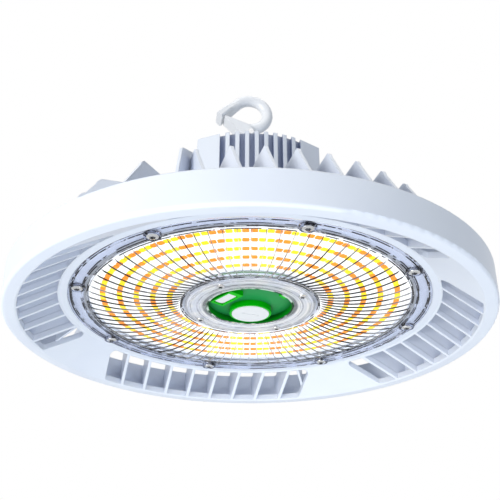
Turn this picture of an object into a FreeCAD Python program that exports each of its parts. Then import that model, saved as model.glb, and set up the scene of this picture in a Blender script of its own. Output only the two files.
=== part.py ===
import FreeCAD, Part
import math
import os

# Round high bay light. Millimetres, +Z up, origin on the axis at the bottom of the rim.
# The four groups of parallel fins and slots point along +X, +Y, -X and -Y.

# Outer band and rim of the casting
outer_radius = 165.0
band_height = 23.5
band_wall = 3.5
band_top_round = 1.0
rim_round = 2.3
rim_width = 8.7

# Sloping web between the rim and the lens ledge
web_width = 27.3
ledge_height = 16.5
web_thickness = 3.8
band_root_height = 4.2

# Slots through the web, in four groups with parallel ribs
group_count = 4
rib_pitch = 18.9
ribs_per_group = 8
rib_width = 2.4
slot_inner_margin = 1.5
slot_outer_margin = 1.3
slot_group_half_width = 81.0
slot_corner_radius = 3.0

# Cooling fins, with the profile given as radius and height
fin_thickness = 1.9
fin_top_height = 59.5
fin_flat_inset = 33.0
fin_tip_inset = 29.7
fin_tip_height = 55.1
fin_tip_crown = 0.4
fin_foot_inset = 7.7
fin_root_sink = 0.6
diagonal_fin_length = 36.0
brace_angle = 11.7
brace_tip_inset = 29.1
brace_foot_inset = 15.5
brace_inner_inset = 44.4
brace_inner_height = 66.0
brace_round = 2.0

# Base plate, hub and posts of the casting
base_underside = 23.4
base_thickness = 4.6
base_edge_margin = 5.0
hub_radius = 80.0
hub_wall = 4.0
hub_top = 66.0
post_count = 4
post_radius = 4.0
post_circle = 60.0
post_top = 44.0

# Lens cover
lens_edge_margin = 5.1
lens_inner_radius = 30.6
lens_flange_thickness = 3.0
lens_fit_gap = 0.3
lens_seat_gap = 0.3
window_outer_margin = 13.5
window_inner_radius = 48.4
window_skin = 2.0
window_rim = 1.4
window_dome_depth = 4.7
bead_depth = 0.9
bead_half_width = 0.8
flange_bead_insets = (1.5, 10.7)
inner_bead_radii = (47.4, 43.6, 36.6)

# Lens screws, outer and inner
lens_screw_count = 8
lens_screw_inset = 5.7
lens_screw_radius = 2.0
lens_screw_head_radius = 3.8
lens_screw_head_height = 2.3
lens_screw_length = 8.6
lens_boss_radius = 5.5
lens_boss_wall = 1.3
lens_boss_depth = 1.6
inner_screw_count = 4
inner_screw_circle = 40.1
inner_screw_first_angle = 45.0
inner_screw_radius = 1.5
inner_screw_head_radius = 2.6
inner_screw_head_height = 1.8
inner_screw_length = 6.6
screw_head_chamfer = 0.45
screw_hole_gap = 0.3
thread_gap = 0.05
screw_end_gap = 0.6

# Seals under the lens
seal_width = 2.4
seal_depth = 1.5
outer_seal_inset = 11.5
inner_seal_radius = 44.9
seal_side_gap = 0.1
pedestal_inner_radius = 34.2
pedestal_outer_radius = 46.6
pocket_inset = 12.9

# LED board and its packages
board_edge_gap = 0.7
board_inner_radius = 47.2
board_thickness = 1.6
pad_thickness = 0.5
led_outer_margin = 9.4
led_inner_margin = 8.6
led_ring_counts = (32, 28, 24, 20, 16)
led_phase_angle = -106.3
led_length = 8.4
led_width = 3.2
led_height = 0.7
board_screw_radius = 1.5
board_screw_head_radius = 2.4
board_screw_head_height = 1.4
board_screw_length = 5.6

# Control bay in the middle of the lens
bay_outer_radius = 30.3
bay_wall = 1.4
bay_flange_radius = 33.9
bay_rim_height = 16.8
bay_ceiling_height = 21.0
bay_ceiling_thickness = 1.5
cap_centre_x = 3.6
cap_centre_y = 11.5
cap_radius = 13.1
cap_face_height = 16.6
cap_thickness = 1.6
cap_stem_radius = 10.3
cap_stem_wall = 1.6
cap_stem_height = 2.0
cap_slot_length = 12.5
cap_slot_width = 1.1
cap_slot_depth = 0.9
cap_slot_angle = 5.0
cap_gap = 0.25
collar_wall = 1.3
collar_height = 17.0
cap_seal_width = 1.4
cap_seal_height = 0.6
socket_radius = 10.2
socket_flange_radius = 13.0
socket_height = 5.4
socket_pin_hole_radius = 1.1
socket_pin_circle = 4.6
bay_gasket_inner_radius = 24.0

# Selector frame and block in the bay
frame_centre_x = -18.6
frame_centre_y = -7.0
frame_turn = -66.0
frame_length = 22.0
frame_width = 10.8
frame_wall = 1.3
frame_end_wall = 3.6
frame_height = 17.4
block_gap = 0.3
block_face_height = 18.3
block_corner_radius = 2.3
bay_lug_angle = -52.8
bay_lug_width = 6.0
bay_lug_reach = 2.2
bay_lug_height = 2.4

# Leads and grommet between the driver and the board
lead_radius = 0.9
led_lead_circle = 51.6
led_lead_angle = 150.0
led_lead_spacing = 2.4
grommet_radius = 3.5
grommet_bore = 2.3
grommet_lip = 1.2
grommet_lip_height = 1.0
grommet_gap = 0.1
sensor_lead_count = 3
sensor_lead_radius = 0.7
sensor_lead_circle = 3.0

# Driver board and what stands on it
driver_board_radius = 68.0
driver_board_thickness = 1.6
driver_screw_length = 7.0
transformer_width = 34.0
transformer_depth = 26.0
transformer_height = 29.0
transformer_x = -6.0
transformer_y = 14.0
transformer_core = 5.0
winding_inset = 3.0
capacitor_radius = 8.0
capacitor_height = 36.0
capacitor_spacing = 18.0
capacitor_x = -4.0
capacitor_y = -26.0
capacitor_chamfer = 1.0

# Driver housing, turned about the axis against the fin groups
housing_turn = -9.3
housing_gasket_thickness = 1.5
housing_gasket_width = 3.0
housing_flange_radius = 80.0
housing_flange_thickness = 6.0
housing_top = 120.0
housing_round_radius = 64.7
housing_half_width = 42.5
housing_arc_half_width = 29.8
housing_facet_angle = 30.0
housing_wall = 4.0
housing_roof = 5.0
housing_top_chamfer = 1.4
groove_count = 9
groove_pitch = 6.5
groove_width = 3.8
groove_depth = 4.6
housing_screw_count = 6
housing_screw_circle = 74.4
housing_screw_angle = 30.0
housing_screw_radius = 2.0
housing_screw_head_radius = 3.6
housing_screw_head_height = 2.6
housing_screw_length = 17.0
housing_boss_radius = 4.8

# Hook boss, stud, washer and nut
hook_boss_radius = 15.0
hook_boss_foot_radius = 17.0
hook_boss_height = 8.0
stud_radius = 5.9
stud_hole_gap = 0.1
stud_end_length = 2.5
hook_collar_radius = 10.5
hook_collar_height = 5.0
nut_across_flats = 19.0
nut_height = 9.0
washer_radius = 12.0
washer_thickness = 2.0

# Hook eye: a rod bent round, with a flattened point
rod_radius = 4.3
eye_mean_radius = 13.5
eye_centre_height = 180.7
eye_end_angle = 136.0
neck_base_radius = 6.4
neck_taper_height = 18.0
point_length = 21.0
point_flat_length = 18.0
point_half_thickness = 2.8
point_half_depth = 7.6
point_sides = 16
point_squareness = 0.35

# Spring latch that closes the hook's mouth
latch_pivot_drop = 6.2
latch_sheet = 1.0
latch_inner_half_width = 4.7
latch_web_offset = 5.2
latch_end_gap = 0.85
latch_web_start = 2.6
latch_ear_radius = 3.3
latch_seat_distance = 2.2
latch_nose_height = 1.6
pin_radius = 1.2
pin_hole_gap = 0.05
pin_head_radius = 2.1
pin_head_thickness = 0.7
pin_head_gap = 0.1
spring_wire_half = 0.35
spring_mean_radius = 1.85
spring_turns = 3.0
spring_pitch = 0.78
spring_slot_half_width = 1.6
spring_slot_radius = 2.75

# Cable gland and breather on the housing's roof
gland_x = 0.0
gland_y = 36.0
gland_hex = 22.0
gland_hex_height = 5.0
gland_thread_radius = 8.0
gland_thread_length = 9.0
gland_neck_radius = 8.6
gland_neck_height = 9.0
gland_nut_hex = 21.5
gland_nut_height = 12.0
gland_nut_mouth = 5.6
gland_nut_roof = 1.6
gland_seal_radius = 6.6
gland_bore_radius = 4.0
gland_way_radius = 5.0
gland_dome_foot_radius = 16.4
gland_dome_top_radius = 7.6
gland_dome_height = 14.0
gland_fit_gap = 0.1
locknut_height = 4.0
breather_x = 26.0
breather_y = 22.0
breather_hex = 16.0
breather_hex_height = 4.0
breather_cap_radius = 6.8
breather_cap_height = 2.2
breather_thread_radius = 5.9
breather_thread_length = 8.0

# Radii, heights and places that follow from the sizes above
rim_inner_radius = outer_radius - rim_width
web_inner_radius = rim_inner_radius - web_width
slot_inner_radius = web_inner_radius + slot_inner_margin
slot_outer_radius = rim_inner_radius - slot_outer_margin
fin_flat_radius = outer_radius - fin_flat_inset
fin_tip_radius = outer_radius - fin_tip_inset
fin_foot_radius = outer_radius - fin_foot_inset
base_radius = web_inner_radius - base_edge_margin
brace_tip_radius = outer_radius - brace_tip_inset
brace_foot_radius = outer_radius - brace_foot_inset
brace_inner_radius = outer_radius - brace_inner_inset
lens_outer_radius = web_inner_radius - lens_edge_margin
lens_screw_circle = lens_outer_radius - lens_screw_inset
window_outer_radius = lens_outer_radius - window_outer_margin
pocket_radius = lens_outer_radius - pocket_inset
outer_seal_radius = lens_outer_radius - outer_seal_inset
board_outer_radius = pocket_radius - board_edge_gap
led_outer_ring = board_outer_radius - led_outer_margin
led_inner_ring = board_inner_radius + led_inner_margin
led_ring_pitch = (led_outer_ring - led_inner_ring) / (len(led_ring_counts) - 1)
led_ring_radii = [led_outer_ring - led_ring_pitch * ring for ring in range(len(led_ring_counts))]
board_screw_inner_circle = (led_ring_radii[2] + led_ring_radii[3]) / 2
board_screw_outer_circle = (led_ring_radii[0] + led_ring_radii[1]) / 2
web_slope = ledge_height / (rim_inner_radius - web_inner_radius)
web_rise = web_thickness * math.hypot(1.0, web_slope)
base_top = base_underside + base_thickness
lens_top = ledge_height + lens_flange_thickness
lens_seat = lens_top + lens_seat_gap
board_top = base_underside - pad_thickness
board_underside = board_top - board_thickness
bay_ceiling_top = bay_ceiling_height + bay_ceiling_thickness
housing_base = hub_top + housing_gasket_thickness
flange_top = housing_base + housing_flange_thickness
roof_underside = housing_top - housing_roof
hook_seat = housing_top + hook_boss_height
driver_board_top = post_top + driver_board_thickness
eye_base_height = eye_centre_height - eye_mean_radius
latch_pivot_height = eye_base_height - latch_pivot_drop
stud_end_height = roof_underside - washer_thickness - nut_height - stud_end_length
cut_top = 2 * eye_centre_height

# Overlap of shapes before they are joined into one solid
hidden = 0.5


def polar(radius, degrees):
    """Point in the XY plane at a radius and an angle."""
    angle = math.radians(degrees)
    return radius * math.cos(angle), radius * math.sin(angle)


def turned(shape, degrees):
    """Copy of a shape turned about the light's axis."""
    copy = shape.copy()
    copy.rotate(FreeCAD.Vector(0, 0, 0), FreeCAD.Vector(0, 0, 1), degrees)
    return copy


def moved(shape, x, y, z):
    """Copy of a shape moved to a place."""
    copy = shape.copy()
    copy.translate(FreeCAD.Vector(x, y, z))
    return copy


def spread(shape, count, first_angle=0.0):
    """Copies of a shape at equal steps round the axis."""
    return [turned(shape, first_angle + 360.0 * step / count) for step in range(count)]


def joined(shapes):
    """One solid from shapes that overlap."""
    return shapes[0].multiFuse(shapes[1:]).removeSplitter()


def outline_face(corners):
    """Flat face with straight sides through 3-D corners."""
    loop = [FreeCAD.Vector(*corner) for corner in corners]
    return Part.Face(Part.makePolygon(loop + [loop[0]]))


def post(radius, low, high, x=0.0, y=0.0):
    """Upright cylinder between two heights."""
    return Part.makeCylinder(radius, high - low, FreeCAD.Vector(x, y, low))


def tube(outer, inner, low, high, x=0.0, y=0.0):
    """Upright ring between two heights."""
    return post(outer, low, high, x, y).cut(post(inner, low - 1.0, high + 1.0, x, y))


def slab(length, width, low, high, x=0.0, y=0.0):
    """Upright block about a centre, between two heights."""
    corner = FreeCAD.Vector(x - length / 2, y - width / 2, low)
    return Part.makeBox(length, width, high - low, corner)


def hexagon(across_flats, low, high, x=0.0, y=0.0):
    """Upright six-sided prism."""
    radius = across_flats / math.sqrt(3.0)
    corners = [polar(radius, 60.0 * side) for side in range(6)]
    face = outline_face([(x + px, y + py, low) for px, py in corners])
    return face.extrude(FreeCAD.Vector(0, 0, high - low))


def pan_screw(radius, length, head_radius, head_height):
    """Pan-head screw, shank up from the seat at height 0, head below it."""
    shank = post(radius, -hidden, length)
    head = post(head_radius, -head_height, 0.0)
    rim = [edge for edge in head.Edges if abs(edge.BoundBox.ZMax + head_height) < 1e-6]
    head = head.makeChamfer(head_height * screw_head_chamfer, rim[:1])
    return joined([head, shank])


# Heat sink casting


def web_top(radius):
    """Height of the web's upper side at a radius."""
    return web_rise + (rim_inner_radius - radius) * web_slope


def sink_shell():
    """Band, rim, sloping web, lens seat and base plate, turned as one profile."""
    top_edge = outer_radius - band_top_round
    round_mid = rim_round * (1.0 - math.sqrt(0.5))
    root_radius = rim_inner_radius + (web_rise - band_root_height) / web_slope
    pocket_wall = lens_outer_radius + lens_fit_gap
    lower = [
        (0.0, base_underside), (pedestal_inner_radius, base_underside),
        (pedestal_inner_radius, lens_seat), (pedestal_outer_radius, lens_seat),
        (pedestal_outer_radius, base_underside), (pocket_radius, base_underside),
        (pocket_radius, lens_seat), (pocket_wall, lens_seat), (pocket_wall, ledge_height),
        (web_inner_radius, ledge_height), (rim_inner_radius, 0.0), (outer_radius - rim_round, 0.0),
    ]
    upper = [
        (outer_radius, rim_round), (outer_radius, band_height - band_top_round),
        (top_edge, band_height), (outer_radius - band_wall, band_height),
        (outer_radius - band_wall, band_root_height), (root_radius, band_root_height),
        (web_inner_radius, web_top(web_inner_radius)), (base_radius, base_top), (0.0, base_top),
    ]
    points = [FreeCAD.Vector(radius, 0, height) for radius, height in lower + upper]
    edges = []
    for index, start in enumerate(points):
        end = points[(index + 1) % len(points)]
        if index == len(lower) - 1:
            middle = FreeCAD.Vector(outer_radius - round_mid, 0, round_mid)
            edges.append(Part.Arc(start, middle, end).toShape())
        else:
            edges.append(Part.makeLine(start, end))
    face = Part.Face(Part.Wire(edges))
    return face.revolve(FreeCAD.Vector(0, 0, 0), FreeCAD.Vector(0, 0, 1), 360)


def rib_offsets():
    """Sideways places of the ribs in a group."""
    middle = (ribs_per_group - 1) / 2.0
    return [(index - middle) * rib_pitch for index in range(ribs_per_group)]


def along(radius, offset):
    """Distance along a group's direction of the point at a radius and a sideways offset."""
    return math.sqrt(radius * radius - offset * offset)


def slot_group():
    """The nine slots of one group: a ring sector with rounded corners, less the ribs."""
    half = slot_group_half_width
    inner_x = along(slot_inner_radius, half)
    outer_x = along(slot_outer_radius, half)
    low = -1.0
    inner = Part.Arc(FreeCAD.Vector(inner_x, half, low), FreeCAD.Vector(slot_inner_radius, 0, low),
                     FreeCAD.Vector(inner_x, -half, low)).toShape()
    outer = Part.Arc(FreeCAD.Vector(outer_x, -half, low), FreeCAD.Vector(slot_outer_radius, 0, low),
                     FreeCAD.Vector(outer_x, half, low)).toShape()
    right = Part.makeLine(FreeCAD.Vector(inner_x, -half, low), FreeCAD.Vector(outer_x, -half, low))
    left = Part.makeLine(FreeCAD.Vector(outer_x, half, low), FreeCAD.Vector(inner_x, half, low))
    sector = Part.Face(Part.Wire([inner, right, outer, left])).extrude(FreeCAD.Vector(0, 0, base_top))
    upright = [edge for edge in sector.Edges if edge.BoundBox.ZLength > base_top / 2]
    sector = sector.makeFillet(slot_corner_radius, upright)
    ribs = [slab(2 * outer_radius, rib_width, -2.0, base_top, 0.0, offset) for offset in rib_offsets()]
    return sector.cut(Part.makeCompound(ribs))


def fin(offset, inner, to_length):
    """Upright plate whose outline is given by radii that to_length turns into lengths."""
    foot = band_height - hidden
    crown_radius = (fin_flat_radius + fin_tip_radius) / 2 + fin_tip_crown
    crown_height = (fin_top_height + fin_tip_height) / 2 + fin_tip_crown
    side = offset - fin_thickness / 2

    def place(radius, height):
        return FreeCAD.Vector(to_length(radius), side, height)

    wall_middle = outer_radius - band_wall / 2
    start = FreeCAD.Vector(inner, side, base_top - fin_root_sink)
    top_start = FreeCAD.Vector(inner, side, fin_top_height)
    under = []
    if inner < to_length(base_radius):
        under = [place(base_radius - fin_root_sink, base_top - fin_root_sink)]
    else:
        start = FreeCAD.Vector(inner, side, web_top(web_inner_radius) - fin_root_sink)
    under += [
        place(web_inner_radius, web_top(web_inner_radius) - fin_root_sink),
        place(rim_inner_radius, web_top(rim_inner_radius) - fin_root_sink),
        place(wall_middle, band_root_height - fin_root_sink), place(wall_middle, foot),
        place(fin_foot_radius, foot), place(fin_tip_radius, fin_tip_height),
    ]
    flat_end = place(fin_flat_radius, fin_top_height)
    tip = Part.Arc(under[-1], place(crown_radius, crown_height), flat_end).toShape()
    sides = [Part.makePolygon([start] + under), tip, Part.makePolygon([flat_end, top_start, start])]
    face = Part.Face(Part.Wire([edge for side_wire in sides for edge in side_wire.Edges]))
    return face.extrude(FreeCAD.Vector(0, fin_thickness, 0))


def brace():
    """Short radial plate beside a diagonal, whose top rises towards the axis."""
    side = -fin_thickness / 2
    outline = [(brace_inner_radius, base_top - fin_root_sink), (base_radius, base_top - fin_root_sink),
               (web_inner_radius, web_top(web_inner_radius) - fin_root_sink),
               (brace_foot_radius, web_top(brace_foot_radius) - fin_root_sink),
               (brace_tip_radius, fin_top_height), (brace_inner_radius, brace_inner_height)]
    face = outline_face([(radius, side, height) for radius, height in outline])
    plate = face.extrude(FreeCAD.Vector(0, fin_thickness, 0))
    tip = [edge for edge in plate.Edges if edge.BoundBox.XLength < hidden
           and abs(edge.BoundBox.XMin - brace_tip_radius) < hidden]
    return plate.makeFillet(brace_round, tip)


def fin_set():
    """All fins: four groups of parallel plates, and a radial plate and a brace on each diagonal."""
    fins = []
    step = 360.0 / group_count
    for offset in rib_offsets():
        inner = max(along(hub_radius - hub_wall / 2, offset), abs(offset))
        plate = fin(offset, inner, lambda radius: along(radius, offset))
        fins += spread(plate, group_count)
    plate = fin(0.0, fin_flat_radius - diagonal_fin_length, lambda radius: radius)
    fins += spread(plate, group_count, step / 2)
    return fins + spread(brace(), group_count, step / 2 + brace_angle)


def hub_parts():
    """Hub wall, screw bosses inside it and the posts for the driver board."""
    wall = tube(hub_radius, hub_radius - hub_wall, base_top - hidden, hub_top)
    x, y = polar(housing_screw_circle, 0.0)
    boss = post(housing_boss_radius, base_top - hidden, hub_top, x, y)
    bosses = spread(boss, housing_screw_count, housing_turn + housing_screw_angle)
    stand = post(post_radius, base_top - hidden, post_top, post_circle, 0.0)
    return [wall] + bosses + spread(stand, post_count, 180.0 / post_count)


def sink_holes():
    """Threaded holes, seal grooves and lead holes of the casting."""
    lens_depth = ledge_height + lens_screw_length + screw_end_gap
    inner_depth = ledge_height + inner_screw_length + screw_end_gap
    board_depth = board_underside + board_screw_length + screw_end_gap
    boss_depth = flange_top - housing_screw_length - screw_end_gap
    post_depth = driver_board_top - driver_screw_length - screw_end_gap
    cuts = spread(post(lens_screw_radius + thread_gap, lens_seat - 1.0, lens_depth,
                       lens_screw_circle, 0.0), lens_screw_count)
    cuts += spread(post(inner_screw_radius + thread_gap, lens_seat - 1.0, inner_depth,
                        inner_screw_circle, 0.0), inner_screw_count, inner_screw_first_angle)
    for x, y in board_screw_places():
        cuts.append(post(board_screw_radius + thread_gap, base_underside - 1.0, board_depth, x, y))
    cuts += spread(post(housing_screw_radius + thread_gap, boss_depth, hub_top + 1.0,
                        housing_screw_circle, 0.0), housing_screw_count, housing_turn + housing_screw_angle)
    cuts += spread(post(board_screw_radius + thread_gap, post_depth, post_top + 1.0,
                        post_circle, 0.0), post_count, 180.0 / post_count)
    for radius in (outer_seal_radius, inner_seal_radius):
        cuts.append(tube(radius + seal_width / 2 + seal_side_gap, radius - seal_width / 2 - seal_side_gap,
                         lens_seat - 1.0, lens_seat + seal_depth))
    x, y = polar(led_lead_circle, led_lead_angle)
    cuts.append(post(grommet_radius + grommet_gap, base_underside - 1.0, base_top + 1.0, x, y))
    cuts.append(post(socket_radius + cap_gap, base_underside - 1.0, base_top + 1.0,
                     cap_centre_x, cap_centre_y))
    return cuts


def heat_sink():
    """The whole casting: slotted shell, fins, hub, bosses and posts."""
    slots = spread(slot_group(), group_count)
    shell = sink_shell().cut(Part.makeCompound(slots))
    body = joined([shell] + fin_set() + hub_parts())
    return body.cut(Part.makeCompound(sink_holes()))


# Lens cover, its screws and seals


def ring_point(radius, height):
    """Point of a section through the axis."""
    return FreeCAD.Vector(radius, 0.0, height)


def lens_profile():
    """Section of the lens: flat flanges with beads, and a window domed downwards between them."""
    middle = (window_outer_radius + window_inner_radius) / 2
    dome_low = ledge_height - window_dome_depth
    outer_side = [(window_outer_radius - window_rim, lens_top), (lens_outer_radius, lens_top),
                  (lens_outer_radius, ledge_height)]
    for inset in flange_bead_insets:
        outer_side += bead(lens_outer_radius - inset, ledge_height)
    outer_side.append((window_outer_radius, ledge_height))
    inner_side = [(window_inner_radius, ledge_height)]
    for radius in inner_bead_radii:
        inner_side += bead(radius, ledge_height)
    inner_side += [(lens_inner_radius, ledge_height), (lens_inner_radius, lens_top),
                   (window_inner_radius + window_rim, lens_top)]
    outer_side = [ring_point(*place) for place in outer_side]
    inner_side = [ring_point(*place) for place in inner_side]
    dome = Part.Arc(outer_side[-1], ring_point(middle, dome_low), inner_side[0]).toShape()
    hollow = Part.Arc(inner_side[-1], ring_point(middle, dome_low + window_skin), outer_side[0]).toShape()
    edges = Part.makePolygon(outer_side).Edges + [dome] + Part.makePolygon(inner_side).Edges + [hollow]
    return Part.Face(Part.Wire(edges))


def bead(radius, low):
    """Small ridge of triangular section that stands below a flange."""
    return [(radius + bead_half_width, low), (radius, low - bead_depth), (radius - bead_half_width, low)]


def lens_cover():
    """Clear cover with a raised ring round each outer screw."""
    boss = tube(lens_boss_radius, lens_boss_radius - lens_boss_wall, ledge_height - lens_boss_depth,
                ledge_height + hidden, lens_screw_circle, 0.0)
    ring = lens_profile().revolve(FreeCAD.Vector(0, 0, 0), FreeCAD.Vector(0, 0, 1), 360)
    lens = joined([ring] + spread(boss, lens_screw_count))
    clear = post(lens_boss_radius - lens_boss_wall, ledge_height - bead_depth - 1.0, ledge_height,
                 lens_screw_circle, 0.0)
    hole = post(lens_screw_radius + screw_hole_gap, 0.0, lens_top + 1.0, lens_screw_circle, 0.0)
    inner_hole = post(inner_screw_radius + screw_hole_gap, 0.0, lens_top + 1.0, inner_screw_circle, 0.0)
    cuts = spread(clear, lens_screw_count) + spread(hole, lens_screw_count)
    cuts += spread(inner_hole, inner_screw_count, inner_screw_first_angle)
    return lens.cut(Part.makeCompound(cuts))


def lens_screws():
    """Outer screws of the lens, as separate solids."""
    screw = pan_screw(lens_screw_radius, lens_screw_length, lens_screw_head_radius, lens_screw_head_height)
    return spread(moved(screw, lens_screw_circle, 0.0, ledge_height), lens_screw_count)


def lens_inner_screws():
    """Inner screws of the lens, as separate solids."""
    screw = pan_screw(inner_screw_radius, inner_screw_length, inner_screw_head_radius,
                      inner_screw_head_height)
    screw = moved(screw, inner_screw_circle, 0.0, ledge_height)
    return spread(screw, inner_screw_count, inner_screw_first_angle)


def lens_seal(radius):
    """Silicone ring in the casting's groove, resting on the lens."""
    return tube(radius + seal_width / 2, radius - seal_width / 2, lens_top, lens_seat + seal_depth)


# LED board


def board_screw_places():
    """Places of the board's screws, on two circles."""
    places = [polar(board_screw_inner_circle, 90.0 * step) for step in range(4)]
    return places + [polar(board_screw_outer_circle, 45.0 + 90.0 * step) for step in range(4)]


def led_board():
    """Ring-shaped metal-core board with holes for its screws."""
    board = tube(board_outer_radius, board_inner_radius, board_underside, board_top)
    holes = [post(board_screw_radius + screw_hole_gap, 0.0, base_top, x, y)
             for x, y in board_screw_places()]
    return board.cut(Part.makeCompound(holes))


def leds(first):
    """Twin-die packages of one colour: every second place round each of the five rings."""
    low = board_underside - led_height
    packages = []
    for radius, periods in zip(led_ring_radii, led_ring_counts):
        package = slab(led_width, led_length, low, board_underside, radius, 0.0)
        start = led_phase_angle + first * 180.0 / periods
        packages += spread(package, periods, start)
    return packages


def board_screws():
    """Small screws that hold the LED board, as separate solids."""
    screw = pan_screw(board_screw_radius, board_screw_length, board_screw_head_radius,
                      board_screw_head_height)
    return [moved(screw, x, y, board_underside) for x, y in board_screw_places()]


def thermal_pad():
    """Heat-conducting sheet between the board and the casting."""
    pad = tube(board_outer_radius, board_inner_radius, board_top, base_underside)
    holes = [post(board_screw_radius + screw_hole_gap, 0.0, base_top, x, y)
             for x, y in board_screw_places()]
    x, y = polar(led_lead_circle, led_lead_angle)
    holes.append(post(grommet_radius + grommet_lip + grommet_gap, 0.0, base_top, x, y))
    return pad.cut(Part.makeCompound(holes))


# Control bay


def bay_place(shape, x, y, turn):
    """Put a shape made about the origin at a place and angle in the bay."""
    return moved(turned(shape, turn), x, y, 0.0)


def bay_cup():
    """Moulded cup: skirt, flange above the lens, ceiling, cap collar, selector frame and lug."""
    skirt = tube(bay_outer_radius, bay_outer_radius - bay_wall, bay_rim_height, lens_top + hidden)
    flange = tube(bay_flange_radius, bay_outer_radius - bay_wall, lens_top, bay_ceiling_top)
    ceiling = post(bay_flange_radius - hidden, bay_ceiling_height, bay_ceiling_top)
    collar = post(cap_radius + cap_gap + collar_wall, collar_height, bay_ceiling_height + hidden,
                  cap_centre_x, cap_centre_y)
    frame = slab(frame_length, frame_width, frame_height, bay_ceiling_height + hidden)
    frame_shift = (frame_end_wall - frame_wall) / 2
    window = slab(frame_length - frame_wall - frame_end_wall, frame_width - 2 * frame_wall,
                  0.0, bay_ceiling_height, -frame_shift)
    frame = bay_place(frame.cut(window), frame_centre_x, frame_centre_y, frame_turn)
    wall_inside = bay_outer_radius - bay_wall
    lug = slab(bay_lug_reach + bay_wall / 2, bay_lug_width, bay_rim_height,
               bay_rim_height + bay_lug_height, wall_inside - bay_lug_reach / 2, 0.0)
    cup = joined([skirt, flange, ceiling, collar, frame, turned(lug, bay_lug_angle)])
    counterbore = post(cap_radius + cap_gap, 0.0, cap_face_height + cap_thickness + cap_seal_height,
                       cap_centre_x, cap_centre_y)
    bore = post(cap_stem_radius + cap_gap, 0.0, base_top, cap_centre_x, cap_centre_y)
    return cup.cut(counterbore).cut(bore)


def bay_cap():
    """Screw-in blanking cap with a coin slot and a hollow stem."""
    disc_top = cap_face_height + cap_thickness
    disc = post(cap_radius, cap_face_height, disc_top)
    stem = tube(cap_stem_radius, cap_stem_radius - cap_stem_wall, disc_top - hidden,
                disc_top + cap_stem_height)
    slot = slab(cap_slot_length, cap_slot_width, cap_face_height - 1.0, cap_face_height + cap_slot_depth)
    cap = joined([disc, stem]).cut(turned(slot, cap_slot_angle))
    return moved(cap, cap_centre_x, cap_centre_y, 0.0)


def bay_cap_seal():
    """Flat ring under the cap's disc."""
    low = cap_face_height + cap_thickness
    outer = cap_radius - cap_gap
    return tube(outer, outer - cap_seal_width, low, low + cap_seal_height, cap_centre_x, cap_centre_y)


def sensor_socket():
    """Socket behind the cap, held by its flange between the cup and the casting."""
    low = cap_face_height + cap_thickness + cap_stem_height + cap_gap
    body = post(socket_radius, low, low + socket_height)
    flange = post(socket_flange_radius, bay_ceiling_top, base_underside)
    hole = post(socket_pin_hole_radius, low - 1.0, low + socket_height / 2, socket_pin_circle, 0.0)
    socket = joined([body, flange]).cut(Part.makeCompound(spread(hole, 4, 45.0)))
    return moved(socket, cap_centre_x, cap_centre_y, 0.0)


def bay_gasket():
    """Foam ring between the cup and the casting."""
    return tube(bay_flange_radius, bay_gasket_inner_radius, bay_ceiling_top, base_underside).cut(
        post(socket_flange_radius + cap_gap, 0.0, base_top, cap_centre_x, cap_centre_y))


def selector_block():
    """White insulator in the cup's frame, with a rounded face edge."""
    length = frame_length - frame_wall - frame_end_wall - 2 * block_gap
    width = frame_width - 2 * frame_wall - 2 * block_gap
    block = slab(length, width, block_face_height, bay_ceiling_height)
    upright = [edge for edge in block.Edges if edge.BoundBox.ZLength > 1.0]
    block = block.makeFillet(block_corner_radius, upright)
    shift = (frame_end_wall - frame_wall) / 2
    return bay_place(moved(block, -shift, 0.0, 0.0), frame_centre_x, frame_centre_y, frame_turn)


# Leads


def led_leads():
    """Two straight insulated wires from the LED board up to the driver board."""
    leads = []
    for sign in (-0.5, 0.5):
        lead = post(lead_radius, board_top, post_top, led_lead_circle, sign * led_lead_spacing)
        leads.append(turned(lead, led_lead_angle))
    return leads


def lead_grommet():
    """Rubber bush with two lips in the base plate's lead hole."""
    x, y = polar(led_lead_circle, led_lead_angle)
    barrel = post(grommet_radius, board_top, base_top + grommet_lip_height, x, y)
    lip = post(grommet_radius + grommet_lip, base_top, base_top + grommet_lip_height, x, y)
    low_lip = post(grommet_radius + grommet_lip, board_top, base_underside, x, y)
    return joined([barrel, lip, low_lip]).cut(post(grommet_bore, 0.0, post_top, x, y))


def sensor_leads():
    """Straight wires from the sensor socket up to the driver board."""
    low = cap_face_height + cap_thickness + cap_stem_height + cap_gap + socket_height
    lead = post(sensor_lead_radius, low, post_top, sensor_lead_circle, 0.0)
    return [moved(copy, cap_centre_x, cap_centre_y, 0.0) for copy in spread(lead, sensor_lead_count)]


# Driver


def driver_board():
    """Round circuit board on the four posts."""
    board = post(driver_board_radius, post_top, driver_board_top)
    hole = post(board_screw_radius + screw_hole_gap, 0.0, housing_top, post_circle, 0.0)
    return board.cut(Part.makeCompound(spread(hole, post_count, 180.0 / post_count)))


def driver_screws():
    """Screws of the driver board, heads up."""
    screw = pan_screw(board_screw_radius, driver_screw_length, board_screw_head_radius,
                      board_screw_head_height)
    screw.rotate(FreeCAD.Vector(0, 0, 0), FreeCAD.Vector(1, 0, 0), 180)
    return spread(moved(screw, post_circle, 0.0, driver_board_top), post_count, 180.0 / post_count)


def driver_transformer():
    """Wound transformer: two core yokes round a winding."""
    low = driver_board_top
    high = low + transformer_height
    winding = slab(transformer_width - 2 * winding_inset, transformer_depth,
                   low + transformer_core, high - transformer_core)
    yokes = [slab(transformer_width, transformer_depth - 2 * winding_inset, low, low + transformer_core),
             slab(transformer_width, transformer_depth - 2 * winding_inset, high - transformer_core, high)]
    legs = [slab(transformer_core, transformer_depth - 2 * winding_inset, low, high,
                 sign * (transformer_width - transformer_core) / 2) for sign in (-1, 1)]
    core = joined([winding] + yokes + legs)
    return turned(moved(core, transformer_x, transformer_y, 0.0), housing_turn)


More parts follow.
